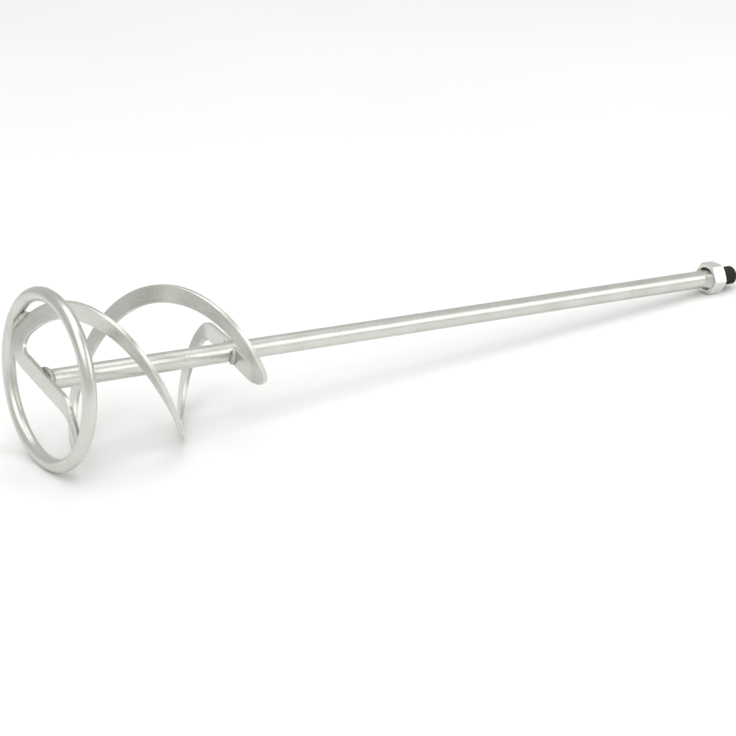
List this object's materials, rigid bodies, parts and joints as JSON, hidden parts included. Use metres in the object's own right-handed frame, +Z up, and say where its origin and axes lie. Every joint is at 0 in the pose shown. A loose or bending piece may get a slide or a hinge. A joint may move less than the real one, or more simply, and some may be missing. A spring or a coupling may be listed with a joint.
{
  "type": "mortar mixing paddle",
  "caption": "Long steel stirrer for a mixing drill: a round shaft with flat-bar spiral blades, a round-bar ring at the mixing end and a nut with a threaded stud at the drive end.",
  "frame": {"origin": "on the floor under the middle of the tool as it lies on its ring and its nut", "axes": "+Z up; +X from the mixing ring towards the threaded drive end; the shaft slopes 4.87 degrees down towards +X, because the ring is wider than the nut"},
  "size_m": [0.5996, 0.12, 0.1196],
  "materials": {
    "zinc_steel": "electro-galvanised, satin grey",
    "weld_metal": "rippled weld bead under the same zinc",
    "black_steel": "blackened, dull"
  },
  "bodies": {
    "root": {"shaft": "zinc_steel", "bottom_ring": "zinc_steel", "crossbar": "zinc_steel", "blade_a": "zinc_steel", "blade_b": "zinc_steel", "drive_nut": "zinc_steel", "drive_stud": "black_steel", "weld_nut": "weld_metal", "weld_shaft_foot": "weld_metal", "weld_arm_a_lower": "weld_metal", "weld_arm_a_upper": "weld_metal", "weld_arm_b_lower": "weld_metal", "weld_arm_b_upper": "weld_metal", "weld_ring_a_front": "weld_metal", "weld_ring_a_back": "weld_metal", "weld_ring_b_front": "weld_metal", "weld_ring_b_back": "weld_metal"}
  },
  "joints": []
}
